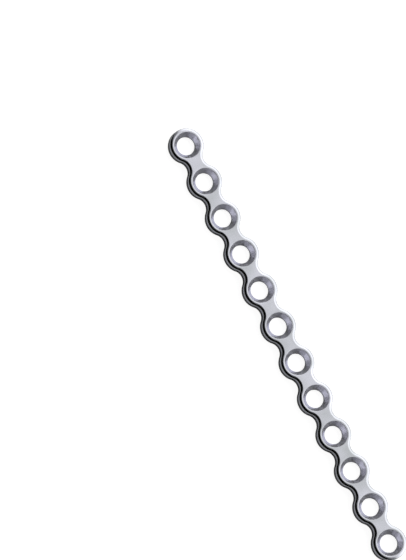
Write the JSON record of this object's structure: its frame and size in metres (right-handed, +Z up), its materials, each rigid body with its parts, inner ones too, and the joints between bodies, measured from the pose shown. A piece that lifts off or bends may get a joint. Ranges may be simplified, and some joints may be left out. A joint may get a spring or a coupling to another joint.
{
  "type": "orthopedic bone plate",
  "caption": "Straight scalloped bone plate for small bones, with a row of countersunk screw holes and rounded edges.",
  "frame": {"origin": "middle of the underside, the face that lies on the bone", "axes": "+X along the plate, +Y across it, +Z up out of the top face, where the countersinks open"},
  "size_m": [0.0594, 0.0044, 0.0015],
  "materials": {
    "implant_steel": "electropolished implant stainless steel, bright"
  },
  "bodies": {
    "root": {"bone_plate": "implant_steel"}
  },
  "joints": []
}
